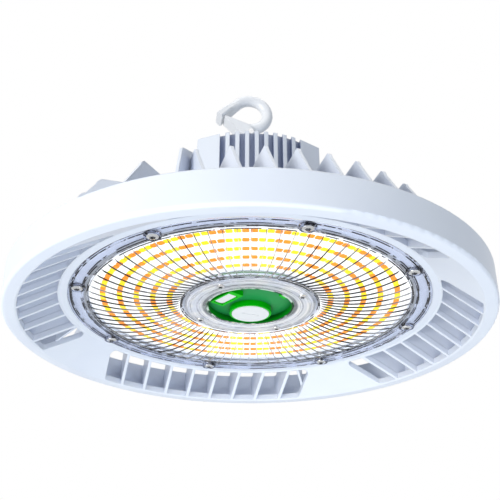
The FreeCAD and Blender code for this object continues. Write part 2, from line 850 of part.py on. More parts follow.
def driver_capacitors():
    """Three electrolytic cans in a row."""
    can = post(capacitor_radius, driver_board_top, driver_board_top + capacitor_height)
    rim = [edge for edge in can.Edges if edge.BoundBox.ZMin > driver_board_top + 1.0]
    can = can.makeChamfer(capacitor_chamfer, rim[:1])
    places = [capacitor_x + (index - 1) * capacitor_spacing for index in range(3)]
    return [turned(moved(can, x, capacitor_y, 0.0), housing_turn) for x in places]


# Driver housing


def housing_outline(radius, half_width, arc_half_width, low):
    """Plan of the housing: round front and back, short slanted facets and straight sides."""
    arc_y = math.sqrt(radius * radius - arc_half_width * arc_half_width)
    facet = half_width - arc_half_width
    side_y = arc_y - facet * math.tan(math.radians(housing_facet_angle))
    back = Part.Arc(FreeCAD.Vector(arc_half_width, arc_y, low), FreeCAD.Vector(0, radius, low),
                    FreeCAD.Vector(-arc_half_width, arc_y, low)).toShape()
    front = Part.Arc(FreeCAD.Vector(-arc_half_width, -arc_y, low), FreeCAD.Vector(0, -radius, low),
                     FreeCAD.Vector(arc_half_width, -arc_y, low)).toShape()
    left = Part.makePolygon([FreeCAD.Vector(-arc_half_width, arc_y, low),
                             FreeCAD.Vector(-half_width, side_y, low),
                             FreeCAD.Vector(-half_width, -side_y, low),
                             FreeCAD.Vector(-arc_half_width, -arc_y, low)])
    right = Part.makePolygon([FreeCAD.Vector(arc_half_width, -arc_y, low),
                              FreeCAD.Vector(half_width, -side_y, low),
                              FreeCAD.Vector(half_width, side_y, low),
                              FreeCAD.Vector(arc_half_width, arc_y, low)])
    return Part.Face(Part.Wire([back] + left.Edges + [front] + right.Edges))


def groove_cutters():
    """Upright grooves across the round front and back."""
    floor_radius = housing_round_radius - groove_depth
    keep = post(floor_radius, flange_top - 1.0, housing_top + 1.0)
    middle = (groove_count - 1) / 2.0
    cuts = []
    for index in range(groove_count):
        x = (index - middle) * groove_pitch
        bar = slab(groove_width, 3 * housing_round_radius, flange_top, housing_top + 1.0, x)
        cuts.append(bar)
    return Part.makeCompound(cuts).cut(keep)


def driver_housing():
    """Cast housing: flange, grooved body with a chamfered top, hook boss and cavity."""
    body = housing_outline(housing_round_radius, housing_half_width, housing_arc_half_width,
                           housing_base + hidden)
    body = body.extrude(FreeCAD.Vector(0, 0, housing_top - housing_base - hidden))
    top_edges = [edge for edge in body.Edges if edge.BoundBox.ZMin > housing_top - 0.01]
    body = body.makeChamfer(housing_top_chamfer, top_edges)
    body = body.cut(groove_cutters())
    flange = post(housing_flange_radius, housing_base, flange_top)
    boss = Part.makeCone(hook_boss_foot_radius, hook_boss_radius, hook_boss_height + hidden,
                         FreeCAD.Vector(0, 0, housing_top - hidden))
    shell = joined([body, flange, boss])
    inner_radius = housing_round_radius - groove_depth - housing_wall
    inner = housing_outline(inner_radius, housing_half_width - housing_wall,
                            housing_arc_half_width - 1.0, housing_base - 1.0)
    cavity = inner.extrude(FreeCAD.Vector(0, 0, roof_underside - housing_base + 1.0))
    cuts = [cavity, post(stud_radius + stud_hole_gap, roof_underside - 1.0, hook_seat + 1.0)]
    cuts.append(post(gland_thread_radius + gland_fit_gap, roof_underside - 1.0, housing_top + 1.0,
                     gland_x, gland_y))
    cuts.append(post(breather_thread_radius + gland_fit_gap, roof_underside - 1.0, housing_top + 1.0,
                     breather_x, breather_y))
    hole = post(housing_screw_radius + screw_hole_gap, housing_base - 1.0, flange_top + 1.0,
                housing_screw_circle, 0.0)
    cuts += spread(hole, housing_screw_count, housing_screw_angle)
    return turned(shell.cut(Part.makeCompound(cuts)), housing_turn)


def housing_gasket():
    """Flat ring between the hub and the housing, with a lobe round each screw."""
    ring = tube(hub_radius, hub_radius - housing_gasket_width, hub_top, housing_base)
    x, y = polar(housing_screw_circle, 0.0)
    lobes = spread(post(housing_boss_radius, hub_top, housing_base, x, y), housing_screw_count,
                   housing_turn + housing_screw_angle)
    hole = post(housing_screw_radius + screw_hole_gap, 0.0, housing_top, x, y)
    holes = spread(hole, housing_screw_count, housing_turn + housing_screw_angle)
    return joined([ring] + lobes).cut(Part.makeCompound(holes))


def housing_screws():
    """Screws through the housing's flange into the hub, heads up."""
    screw = pan_screw(housing_screw_radius, housing_screw_length, housing_screw_head_radius,
                      housing_screw_head_height)
    screw.rotate(FreeCAD.Vector(0, 0, 0), FreeCAD.Vector(1, 0, 0), 180)
    screw = moved(screw, housing_screw_circle, 0.0, flange_top)
    return spread(screw, housing_screw_count, housing_turn + housing_screw_angle)


# Hook


def rod_arc():
    """The bent part of the rod, in the plane of X and height, from its foot round to the point."""
    origin = FreeCAD.Vector(0, 0, 0)
    upright = FreeCAD.Vector(0, 0, 1)
    bend = Part.makeTorus(eye_mean_radius, rod_radius, origin, upright, -180, 180, 90.0 + eye_end_angle)
    bend.rotate(origin, upright, -90.0)
    bend.rotate(origin, FreeCAD.Vector(1, 0, 0), 90.0)
    return moved(bend, 0.0, 0.0, eye_centre_height)


def point_frame():
    """Start of the straight point of the hook, its direction and its inward normal."""
    angle = math.radians(eye_end_angle)
    start = FreeCAD.Vector(eye_mean_radius * math.cos(angle), 0,
                           eye_centre_height + eye_mean_radius * math.sin(angle))
    direction = FreeCAD.Vector(-math.sin(angle), 0, math.cos(angle))
    inward = FreeCAD.Vector(-math.cos(angle), 0, -math.sin(angle))
    return start, direction, inward


def hook_point():
    """Straight end of the rod, lofted from round to a flat, wide point."""
    start, direction, inward = point_frame()
    sections = []
    stations = ((-hidden, rod_radius, rod_radius), (point_length - point_flat_length, rod_radius, rod_radius),
                (point_length - point_flat_length / 2, point_half_thickness, point_half_depth),
                (point_length, point_half_thickness, point_half_depth))
    for distance, thickness, depth in stations:
        centre = start + direction * distance
        power = 1.0 if depth == rod_radius else point_squareness
        corners = []
        for step in range(point_sides):
            angle = math.radians((step + 0.5) * 360.0 / point_sides)
            across = math.copysign(abs(math.cos(angle)) ** power, math.cos(angle))
            deep = math.copysign(abs(math.sin(angle)) ** power, math.sin(angle))
            corners.append(centre + inward * (across * thickness) + FreeCAD.Vector(0, deep * depth, 0))
        sections.append(Part.makePolygon(corners + [corners[0]]))
    return Part.makeLoft(sections, True, True)


def hook_eye():
    """Forged hook with its threaded stud, collar, tapered neck, eye and flat point."""
    stud = post(stud_radius, stud_end_height, hook_seat + hidden)
    collar = post(hook_collar_radius, hook_seat, hook_seat + hook_collar_height)
    neck_low = hook_seat + hook_collar_height - hidden
    taper = Part.makeCone(neck_base_radius, rod_radius, neck_taper_height, FreeCAD.Vector(0, 0, neck_low))
    neck = post(rod_radius, neck_low, eye_base_height)
    knuckle = Part.makeSphere(rod_radius, FreeCAD.Vector(0, 0, eye_base_height))
    hook = joined([stud, collar, taper, neck, knuckle, rod_arc(), hook_point()])
    pivot = FreeCAD.Vector(0, -2 * rod_radius, latch_pivot_height)
    hole = Part.makeCylinder(pin_radius + pin_hole_gap, 4 * rod_radius, pivot, FreeCAD.Vector(0, 1, 0))
    pocket_start = FreeCAD.Vector(0, -spring_slot_half_width, latch_pivot_height)
    pocket = Part.makeCylinder(spring_slot_radius, 2 * spring_slot_half_width, pocket_start,
                               FreeCAD.Vector(0, 1, 0))
    mouth = Part.makeBox(2 * rod_radius, 2 * spring_slot_half_width, 2 * spring_slot_radius,
                         FreeCAD.Vector(-2 * rod_radius, -spring_slot_half_width,
                                        latch_pivot_height - spring_slot_radius))
    return turned(hook.cut(hole).cut(pocket.fuse(mouth)), housing_turn)


def latch_line():
    """Angle and length of the latch's web, from the pivot's foot to its seat on the point."""
    start, direction, inward = point_frame()
    middle_offset = latch_web_offset + latch_sheet / 2
    seat = start + direction * (point_length - latch_seat_distance)
    seat = seat + inward * (point_half_thickness + latch_end_gap)
    reach = math.hypot(seat.x, seat.z - latch_pivot_height)
    bearing = math.atan2(seat.z - latch_pivot_height, seat.x)
    angle = bearing - math.asin(middle_offset / reach)
    return math.degrees(angle), math.sqrt(reach * reach - middle_offset * middle_offset)


def hook_latch():
    """Folded sheet latch: a web and two ears on the pin."""
    angle, length = latch_line()
    outer_half = latch_inner_half_width + latch_sheet
    web_far = latch_web_offset + latch_sheet
    flank = math.sqrt(0.5) * latch_ear_radius
    outline = [(-flank, web_far), (length, web_far), (length, web_far - latch_nose_height),
               (2 * latch_ear_radius, -latch_ear_radius), (0.0, -latch_ear_radius),
               (-flank, -flank), (-latch_ear_radius, 0.0)]
    face = outline_face([(along_web, -outer_half, across) for along_web, across in outline])
    channel = face.extrude(FreeCAD.Vector(0, 2 * outer_half, 0))
    inside = Part.makeBox(4 * length, 2 * latch_inner_half_width, 4 * web_far,
                          FreeCAD.Vector(-2 * length, -latch_inner_half_width,
                                         latch_web_offset - 4 * web_far))
    heel = Part.makeBox(4 * length, 2 * latch_inner_half_width, 4 * web_far,
                        FreeCAD.Vector(latch_web_start - 4 * length, -latch_inner_half_width,
                                       -2 * web_far))
    hole = Part.makeCylinder(pin_radius + pin_hole_gap, 4 * outer_half,
                             FreeCAD.Vector(0, -2 * outer_half, 0), FreeCAD.Vector(0, 1, 0))
    latch = channel.cut(inside).cut(heel).cut(hole)
    latch.rotate(FreeCAD.Vector(0, 0, 0), FreeCAD.Vector(0, -1, 0), angle)
    return turned(moved(latch, 0.0, 0.0, latch_pivot_height), housing_turn)


def latch_pin():
    """Rivet through the neck and the latch's ears."""
    inside = latch_inner_half_width + latch_sheet + pin_head_gap
    shank = Part.makeCylinder(pin_radius, 2 * inside, FreeCAD.Vector(0, -inside, latch_pivot_height),
                              FreeCAD.Vector(0, 1, 0))
    heads = []
    for sign in (-1, 1):
        start = FreeCAD.Vector(0, sign * inside, latch_pivot_height)
        heads.append(Part.makeCylinder(pin_head_radius, pin_head_thickness, start,
                                       FreeCAD.Vector(0, sign, 0)))
    return turned(joined([shank] + heads), housing_turn)


def latch_spring():
    """Torsion coil of square wire round the pin, in the slot of the neck."""
    helix = Part.makeHelix(spring_pitch, spring_turns * spring_pitch, spring_mean_radius)
    inner = spring_mean_radius - spring_wire_half
    outer = spring_mean_radius + spring_wire_half
    corners = [(inner, -spring_wire_half), (outer, -spring_wire_half),
               (outer, spring_wire_half), (inner, spring_wire_half)]
    section = [ring_point(*corner) for corner in corners]
    wire_end = Part.makePolygon(section + section[:1])
    coil = Part.Wire(helix).makePipeShell([wire_end], True, True)
    coil.translate(FreeCAD.Vector(0, 0, -spring_turns * spring_pitch / 2))
    coil.rotate(FreeCAD.Vector(0, 0, 0), FreeCAD.Vector(1, 0, 0), 90)
    return turned(moved(coil, 0.0, 0.0, latch_pivot_height), housing_turn)


def hook_washer():
    """Flat washer under the roof."""
    return tube(washer_radius, stud_radius + stud_hole_gap, roof_underside - washer_thickness,
                roof_underside)


def hook_nut():
    """Nut on the hook's stud, inside the housing."""
    top = roof_underside - washer_thickness
    nut = hexagon(nut_across_flats, top - nut_height, top)
    return turned(nut.cut(post(stud_radius + thread_gap, 0.0, housing_top)), housing_turn)


# Cable gland and breather


def on_roof(shape, x, y):
    """Put a shape made about the origin on the roof."""
    return turned(moved(shape, x, y, 0.0), housing_turn)


def gland_body():
    """Gland body: thread through the roof, hexagon and neck."""
    thread = post(gland_thread_radius, housing_top - gland_thread_length, housing_top + hidden)
    collar = hexagon(gland_hex, housing_top, housing_top + gland_hex_height)
    neck_low = housing_top + gland_hex_height - hidden
    neck = post(gland_neck_radius, neck_low, neck_low + hidden + gland_neck_height)
    bore = post(gland_seal_radius + gland_fit_gap, housing_top + gland_hex_height - hidden, cut_top)
    way = post(gland_way_radius, 0.0, cut_top)
    return on_roof(joined([thread, collar, neck]).cut(bore).cut(way), gland_x, gland_y)


def gland_nut():
    """Cap nut that squeezes the seal."""
    low = housing_top + gland_hex_height + gland_fit_gap
    high = low + gland_nut_height
    nut = hexagon(gland_nut_hex, low, high)
    dome = Part.makeCone(gland_dome_foot_radius, gland_dome_top_radius, gland_dome_height,
                         FreeCAD.Vector(0, 0, low - hidden))
    nut = nut.common(dome)
    inside = post(gland_neck_radius + gland_fit_gap, low - 1.0, high - gland_nut_roof)
    return on_roof(nut.cut(inside).cut(post(gland_nut_mouth, low, high + 1.0)), gland_x, gland_y)


def gland_seal():
    """Rubber sleeve that grips a cable."""
    low = housing_top + gland_hex_height
    high = low + gland_fit_gap + gland_nut_height - gland_nut_roof
    return on_roof(tube(gland_seal_radius, gland_bore_radius, low - hidden, high), gland_x, gland_y)


def gland_locknut():
    """Thin nut on the gland's thread, under the roof."""
    nut = hexagon(gland_hex, roof_underside - locknut_height, roof_underside)
    return on_roof(nut.cut(post(gland_thread_radius + thread_gap, 0.0, housing_top)), gland_x, gland_y)


def breather_valve():
    """Vent plug: thread, hexagon and round cap."""
    thread = post(breather_thread_radius, housing_top - breather_thread_length, housing_top + hidden)
    collar = hexagon(breather_hex, housing_top, housing_top + breather_hex_height)
    cap_low = housing_top + breather_hex_height
    cap = post(breather_cap_radius, cap_low - hidden, cap_low + breather_cap_height)
    return on_roof(joined([thread, collar, cap]), breather_x, breather_y)


def export(name, shape):
    """Write one sub-part, a solid or a list of separate solids."""
    if isinstance(shape, list):
        shape = Part.makeCompound(shape)
    shape.exportStep("parts/" + name + ".step")
    state = "valid" if shape.isValid() else "NOT VALID"
    print(name, len(shape.Solids), "solids", state, round(shape.Volume / 1000, 2), "cm3")


os.makedirs("parts", exist_ok=True)
export("heat_sink", heat_sink())
export("lens_cover", lens_cover())
export("lens_screws", lens_screws())
export("lens_inner_screws", lens_inner_screws())
export("lens_seal_outer", lens_seal(outer_seal_radius))
export("lens_seal_inner", lens_seal(inner_seal_radius))
export("led_board", led_board())
export("leds_warm", leds(0))
export("leds_cool", leds(1))
export("board_screws", board_screws())
export("thermal_pad", thermal_pad())
export("bay_cup", bay_cup())
export("bay_cap", bay_cap())
export("bay_cap_seal", bay_cap_seal())
export("sensor_socket", sensor_socket())
export("bay_gasket", bay_gasket())
export("selector_block", selector_block())
export("led_leads", led_leads())
export("lead_grommet", lead_grommet())
export("sensor_leads", sensor_leads())
export("driver_board", driver_board())
export("driver_screws", driver_screws())
export("driver_transformer", driver_transformer())
export("driver_capacitors", driver_capacitors())
export("driver_housing", driver_housing())
export("housing_gasket", housing_gasket())
export("housing_screws", housing_screws())
export("hook_eye", hook_eye())
export("hook_latch", hook_latch())
export("latch_pin", latch_pin())
export("latch_spring", latch_spring())
export("hook_washer", hook_washer())
export("hook_nut", hook_nut())
export("gland_body", gland_body())
export("gland_nut", gland_nut())
export("gland_seal", gland_seal())
export("gland_locknut", gland_locknut())
export("breather_valve", breather_valve())
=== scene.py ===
import math

import bpy
import numpy as np
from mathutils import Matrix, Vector


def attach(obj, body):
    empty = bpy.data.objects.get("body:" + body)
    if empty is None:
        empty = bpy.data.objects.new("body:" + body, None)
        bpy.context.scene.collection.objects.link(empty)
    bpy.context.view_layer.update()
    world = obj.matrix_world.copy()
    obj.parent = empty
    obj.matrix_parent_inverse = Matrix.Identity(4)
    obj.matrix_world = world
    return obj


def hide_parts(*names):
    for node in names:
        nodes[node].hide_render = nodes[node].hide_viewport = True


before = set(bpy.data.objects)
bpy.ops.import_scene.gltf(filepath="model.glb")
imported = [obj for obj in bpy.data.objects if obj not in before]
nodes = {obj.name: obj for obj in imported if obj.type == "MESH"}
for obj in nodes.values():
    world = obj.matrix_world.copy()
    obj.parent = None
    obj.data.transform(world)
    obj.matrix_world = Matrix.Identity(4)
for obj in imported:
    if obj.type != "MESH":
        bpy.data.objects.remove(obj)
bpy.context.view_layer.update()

MM = 0.001

# The room: a photographer's white studio. The camera stands below the light and looks up, the
# pale floor lies far beneath, and soft lamps stand left, right, below and above. White is seen
# all round, in shiny faces and through the lens, while matte faces get a dim, cool room light.
CAMERA_PLACE_MM = (-150.05, -512.46, -222.40)
CAMERA_AIM = (0.2481, 0.8475, 0.4693)
CAMERA_LENS_MM = 60.82
SENSOR_MM = 36.0
ROOM_LIGHT = 0.22
ROOM_TINT = (0.88, 0.93, 1.0, 1.0)
FLOOR_HEIGHT = -1.6
FLOOR_HALF = 6.0
FLOOR_TONE = (0.86, 0.87, 0.88, 1.0)
FLOOR_ROUGHNESS = 0.8
FLOOR_SHADOW = 0.25
FLOOR_GLOW = 0.7
LAMP_AIM = (0.0, 0.0, 0.05)

scene = bpy.context.scene
scene.view_settings.view_transform = "Standard"

camera_data = bpy.data.cameras.new("studio_camera")
camera_data.lens = CAMERA_LENS_MM
camera_data.sensor_width = SENSOR_MM
camera_data.clip_start = 0.01
camera_data.clip_end = 50.0
camera = bpy.data.objects.new("studio_camera", camera_data)
camera.location = Vector(CAMERA_PLACE_MM) * MM
camera.rotation_mode = "QUATERNION"
camera.rotation_quaternion = Vector(CAMERA_AIM).to_track_quat("-Z", "Y")
scene.collection.objects.link(camera)
scene.camera = camera


def maths(tree_nodes, links, operation, *values):
    """Math node of an operation. Each value is a number or the output of another node."""
    node = tree_nodes.new("ShaderNodeMath")
    node.operation = operation
    for number, value in enumerate(values):
        if isinstance(value, (int, float)):
            node.inputs[number].default_value = value
        else:
            links.new(value, node.inputs[number])
    return node.outputs[0]


def white_where_seen(tree_nodes, links, shown, lighting, output_socket):
    """Mixes two shaders: shown for camera, glossy and transmission rays, lighting for others."""
    path = tree_nodes.new("ShaderNodeLightPath")
    mirrored = maths(tree_nodes, links, "MAXIMUM", path.outputs["Is Camera Ray"],
                     path.outputs["Is Glossy Ray"])
    mix = tree_nodes.new("ShaderNodeMixShader")
    links.new(maths(tree_nodes, links, "MAXIMUM", mirrored, path.outputs["Is Transmission Ray"]),
              mix.inputs[0])
    links.new(lighting, mix.inputs[1])
    links.new(shown, mix.inputs[2])
    links.new(mix.outputs[0], output_socket)


world = bpy.data.worlds.new("studio")
world.use_nodes = True
scene.world = world
tree = world.node_tree
tree.nodes.clear()
room_light = tree.nodes.new("ShaderNodeBackground")
room_light.inputs["Color"].default_value = ROOM_TINT
room_light.inputs["Strength"].default_value = ROOM_LIGHT
room_white = tree.nodes.new("ShaderNodeBackground")
room_white.inputs["Color"].default_value = (1.0, 1.0, 1.0, 1.0)
world_output = tree.nodes.new("ShaderNodeOutputWorld")
white_where_seen(tree.nodes, tree.links, room_white.outputs[0], room_light.outputs[0],
                 world_output.inputs["Surface"])

floor_mesh = bpy.data.meshes.new("studio_floor")
floor_mesh.from_pydata([(x * FLOOR_HALF, y * FLOOR_HALF, FLOOR_HEIGHT)
                        for x, y in ((-1, -1), (1, -1), (1, 1), (-1, 1))], [], [(0, 1, 2, 3)])
floor = bpy.data.objects.new("studio_floor", floor_mesh)
scene.collection.objects.link(floor)
floor_material = bpy.data.materials.new("pale_floor")
floor_material.use_nodes = True
tree = floor_material.node_tree
floor_shader = tree.nodes["Principled BSDF"]
floor_shader.inputs["Base Color"].default_value = FLOOR_TONE
floor_shader.inputs["Roughness"].default_value = FLOOR_ROUGHNESS
floor_white = tree.nodes.new("ShaderNodeEmission")
floor_white.inputs["Strength"].default_value = FLOOR_GLOW
floor_seen = tree.nodes.new("ShaderNodeMixShader")
floor_seen.inputs[0].default_value = FLOOR_SHADOW
tree.links.new(floor_white.outputs[0], floor_seen.inputs[1])
tree.links.new(floor_shader.outputs[0], floor_seen.inputs[2])
white_where_seen(tree.nodes, tree.links, floor_seen.outputs[0], floor_shader.outputs[0],
                 tree.nodes["Material Output"].inputs["Surface"])
floor_material.cycles.emission_sampling = "NONE"
floor_mesh.materials.append(floor_material)


def soft_lamp(name, place, aim, size, watts, tint=(1.0, 1.0, 1.0)):
    """Square area lamp at a place, turned to a point."""
    data = bpy.data.lights.new(name, "AREA")
    data.size = size
    data.energy = watts
    data.color = tint
    lamp = bpy.data.objects.new(name, data)
    lamp.location = place
    lamp.rotation_mode = "QUATERNION"
    lamp.rotation_quaternion = (Vector(aim) - Vector(place)).to_track_quat("-Z", "Y")
    scene.collection.objects.link(lamp)


soft_lamp("lamp_left", (-1.7, -0.9, -0.1), LAMP_AIM, 1.1, 30.0)
soft_lamp("lamp_right", (1.4, -1.3, -1.1), LAMP_AIM, 0.9, 10.0, (0.72, 0.83, 1.0))
soft_lamp("lamp_below", (-0.3, -0.5, -1.35), (0.0, 0.0, 0.0), 1.2, 14.0, (0.93, 0.96, 1.0))
soft_lamp("lamp_above", (0.1, -0.4, 1.6), (0.0, 0.0, 0.1), 1.2, 10.0)


# White powder coat: baked polyester powder on die-cast aluminium and on the steel hook. It has
# a fine orange-peel surface and a faint mottle, and is a little cool in tone. Deep between the
# fins, in the slots and in the grooves its colour turns to a darker blue-grey, which is painted
# shade. The hook's coat is a whiter copy of it, painted lighter to stand in for light on the hook.
COAT_TONES = ((0.78, 0.83, 0.92), (0.82, 0.87, 0.94))
COAT_GLOSS = 0.38
COAT_GRAIN_MM = 1.4
COAT_PEEL_MM = 0.03


def new_material(name, colour, roughness, metallic=0.0):
    """Principled material of one colour. Gives the material, its nodes, links and shader."""
    material = bpy.data.materials.new(name)
    material.use_nodes = True
    tree = material.node_tree
    shader = tree.nodes["Principled BSDF"]
    shader.inputs["Base Color"].default_value = (*colour, 1.0)
    shader.inputs["Roughness"].default_value = roughness
    shader.inputs["Metallic"].default_value = metallic
    return material, tree.nodes, tree.links, shader


def noise_at(tree_nodes, links, size_mm, detail=2.0):
    """Noise over Object coordinates with features of about size_mm."""
    place = tree_nodes.new("ShaderNodeTexCoord")
    noise = tree_nodes.new("ShaderNodeTexNoise")
    noise.inputs["Scale"].default_value = 1.0 / (size_mm * MM)
    noise.inputs["Detail"].default_value = detail
    links.new(place.outputs["Object"], noise.inputs["Vector"])
    return noise


def ramped(tree_nodes, links, value, low, high, start=0.0, end=1.0):
    """Value taken in a straight line from start at low to end at high, and held beyond them."""
    ramp = tree_nodes.new("ShaderNodeMapRange")
    for name, level in (("From Min", low), ("From Max", high), ("To Min", start), ("To Max", end)):
        ramp.inputs[name].default_value = level
    links.new(value, ramp.inputs["Value"])
    return ramp.outputs[0]


def blended(tree_nodes, links, share, first, second):
    """Colour between two, by share. Each is three numbers or the output of another node."""
    mix = tree_nodes.new("ShaderNodeMix")
    mix.data_type = "RGBA"
    links.new(share, mix.inputs["Factor"])
    for socket, colour in (("A", first), ("B", second)):
        if isinstance(colour, tuple):
            mix.inputs[socket].default_value = (*colour, 1.0)
        else:
            links.new(colour, mix.inputs[socket])
    return mix.outputs["Result"]


def mottled(tree_nodes, links, shader, first, second, size_mm):
    """Colour that drifts between two tones over patches of about size_mm."""
    noise = noise_at(tree_nodes, links, size_mm, 4.0)
    ramp = tree_nodes.new("ShaderNodeValToRGB")
    ramp.color_ramp.elements[0].position = 0.3
    ramp.color_ramp.elements[0].color = (*first, 1.0)
    ramp.color_ramp.elements[1].position = 0.7
    ramp.color_ramp.elements[1].color = (*second, 1.0)
    links.new(noise.outputs["Fac"], ramp.inputs["Fac"])
    links.new(ramp.outputs["Color"], shader.inputs["Base Color"])


def rippled(tree_nodes, links, shader, size_mm, depth_mm, detail=2.0):
    """Bump from noise with features of about size_mm, depth_mm high."""
    noise = noise_at(tree_nodes, links, size_mm, detail)
    bump = tree_nodes.new("ShaderNodeBump")
    bump.inputs["Distance"].default_value = depth_mm * MM
    links.new(noise.outputs["Fac"], bump.inputs["Height"])
    links.new(bump.outputs["Normal"], shader.inputs["Normal"])
    return bump


def painted_crease_shade(tree_nodes, links, shader, tone, reach_mm):
    """Paints shade: turns the colour to a darker tone where the piece's own walls close in within reach_mm.
    """
    shelter = tree_nodes.new("ShaderNodeAmbientOcclusion")
    shelter.samples = 6
    shelter.only_local = True
    shelter.inputs["Distance"].default_value = reach_mm * MM
    clear = ramped(tree_nodes, links, shelter.outputs["AO"], 0.25, 0.9)
    colour = shader.inputs["Base Color"].links[0].from_socket
    links.new(blended(tree_nodes, links, clear, tone, colour), shader.inputs["Base Color"])


def moulded(name, first, second, roughness, grain_mm=0.6, depth_mm=0.02, patch_mm=12.0, metallic=0.0,
            edge_mm=0.0, crease_shade_tone=None, crease_mm=0.0):
    """Material with a slow drift between two tones, a fine grain, soft edges and painted shade in creases."""
    material, tree_nodes, links, shader = new_material(name, first, roughness, metallic)
    mottled(tree_nodes, links, shader, first, second, patch_mm)
    if crease_shade_tone:
        painted_crease_shade(tree_nodes, links, shader, crease_shade_tone, crease_mm)
    bump = rippled(tree_nodes, links, shader, grain_mm, depth_mm)
    if edge_mm:
        edge = tree_nodes.new("ShaderNodeBevel")
        edge.samples = 4
        edge.inputs["Radius"].default_value = edge_mm * MM
        links.new(edge.outputs["Normal"], bump.inputs["Normal"])
    return material


def dress(node, *materials):
    """Puts materials on a CAD node in place of its plain one."""
    mesh = nodes[node].data
    mesh.materials.clear()
    for material in materials:
        mesh.materials.append(material)


# Painted shade: deep between the fins and in the housing's grooves the coat turns to darker blue-grey tones.
dress("heat_sink", moulded("white_powder_coat", *COAT_TONES, COAT_GLOSS, COAT_GRAIN_MM, COAT_PEEL_MM, 60.0,
                           edge_mm=0.7, crease_shade_tone=(0.67, 0.72, 0.83), crease_mm=30.0))
dress("driver_housing", moulded("white_housing_coat", *COAT_TONES, COAT_GLOSS, COAT_GRAIN_MM, COAT_PEEL_MM,
                                60.0, edge_mm=0.5, crease_shade_tone=(0.32, 0.38, 0.55), crease_mm=7.0))
# Painted light: a lighter copy of the powder coat, so that the hook reads as lit; inside its ring the colour
# turns grey as painted shade.
hook_coat_lit_copy = moulded("white_hook_coat", (0.90, 0.92, 0.95), (0.92, 0.94, 0.96), 0.3, COAT_GRAIN_MM,
                    COAT_PEEL_MM, 30.0, edge_mm=0.4, crease_shade_tone=(0.42, 0.43, 0.46), crease_mm=12.0)
dress("hook_eye", hook_coat_lit_copy)
dress("hook_latch", hook_coat_lit_copy)


# Small steel parts: bright zinc-plated screws, rivet, washer, nut and spring wire, with fine
# turning marks and a slightly uneven plating. The screws have domed heads with a six-lobed
# recess for the driver, pressed in when the head is formed.
HEAD_SIDES = 36
RECESS_SHARE = 0.48
RECESS_LOBE = 0.13
RECESS_DEPTH = 0.55
RECESS_TURN = 2.4
HEAD_CROWN = 0.32
LENS_SCREW_COUNT = 8


def node_points(node):
    """Corner points of a CAD node in the shared frame, one row each."""
    mesh = nodes[node].data
    points = np.empty(3 * len(mesh.vertices), dtype=np.float32)
    mesh.vertices.foreach_get("co", points)
    return points.reshape(-1, 3).astype(float)


def solid_spans(node, count):
    """Lowest and highest corner of each of the equal solids of a CAD node."""
    solids = node_points(node).reshape(count, -1, 3)
    return solids.min(axis=1), solids.max(axis=1)


def grid_faces(rows, columns, closed_rows=False, start=0):
    """Quads between the points of a grid whose columns close round, and its rows if asked."""
    row = np.arange(rows if closed_rows else rows - 1)[:, None]
    column = np.arange(columns)[None, :]
    next_row = (row + 1) % rows
    next_column = (column + 1) % columns
    corners = [row * columns + column, row * columns + next_column,
               next_row * columns + next_column, next_row * columns + column]
    return start + np.stack([corner + 0 * corners[0] for corner in corners], axis=-1).reshape(-1, 4)


def add_piece(name, points, faces, node, material, body="fixture", sharp_degrees=35.0):
    """Mesh of the scene that takes a CAD node's place, smooth but for its sharp edges."""
    mesh = bpy.data.meshes.new(name)
    mesh.from_pydata(points, [], faces)
    mesh.polygons.foreach_set("use_smooth", np.ones(len(mesh.polygons), dtype=bool))
    mesh.set_sharp_from_angle(angle=math.radians(sharp_degrees))
    mesh.materials.append(material)
    mesh.update()
    piece = bpy.data.objects.new(name, mesh)
    scene.collection.objects.link(piece)
    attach(piece, body)
    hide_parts(node)


def screw_points(shank_radius, head_radius, head_height, length):
    """Rings of a screw with its head down at height 0.

    The head is a circle crowned by the square of the radius. Its recess is a circle whose
    radius swells with the cosine of six times the angle. Each ring is a row.
    """
    angle = 2.0 * math.pi * np.arange(HEAD_SIDES) / HEAD_SIDES
    lobes = head_radius * RECESS_SHARE * (1.0 + RECESS_LOBE * np.cos(6.0 * angle))
    circle = np.ones(HEAD_SIDES)
    floor = -head_height * (1.0 - RECESS_DEPTH)
    tip = 0.02 * head_radius * circle
    rings = [(tip, 1.1 * floor), (0.93 * lobes, floor), (lobes, -head_height * 0.96)]
    for share in (0.35, 0.7, 0.92):
        radius = lobes + (head_radius - lobes) * share
        rings.append((radius, -head_height * (1.0 - HEAD_CROWN * (radius / head_radius) ** 2)))
    wall = -head_height * (1.0 - HEAD_CROWN) + 0.12 * head_height
    rings += [(head_radius * circle, wall), (head_radius * circle, 0.0), (shank_radius * circle, 0.0),
              (shank_radius * circle, length), (tip, length)]
    rows = [np.stack([radius * np.cos(angle), radius * np.sin(angle), height + 0.0 * angle], axis=-1)
            for radius, height in rings]
    return np.array(rows)


def add_screws(node, count, shank_mm, head_mm, head_height_mm, finish, heads_up=False):
    """Screws with recessed heads in place of a node's plain ones."""
    low, high = solid_spans(node, count)
    length = high[0, 2] - low[0, 2] - head_height_mm * MM
    rings = screw_points(shank_mm * MM, head_mm * MM, head_height_mm * MM, length)
    points = []
    faces = []
    for number in range(count):
        middle = (low[number] + high[number]) / 2
        seat = high[number, 2] - head_height_mm * MM if heads_up else low[number, 2] + head_height_mm * MM
        shape = rings * (1.0, -1.0, -1.0) if heads_up else rings
        turn = RECESS_TURN * number
        x = shape[..., 0] * math.cos(turn) - shape[..., 1] * math.sin(turn) + middle[0]
        y = shape[..., 0] * math.sin(turn) + shape[..., 1] * math.cos(turn) + middle[1]
        points.append(np.stack([x, y, shape[..., 2] + seat], axis=-1).reshape(-1, 3))
        faces.append(grid_faces(len(rings), HEAD_SIDES, start=number * rings.shape[0] * HEAD_SIDES))
    add_piece(node + "_recessed", np.concatenate(points), np.concatenate(faces), node,
              finish)
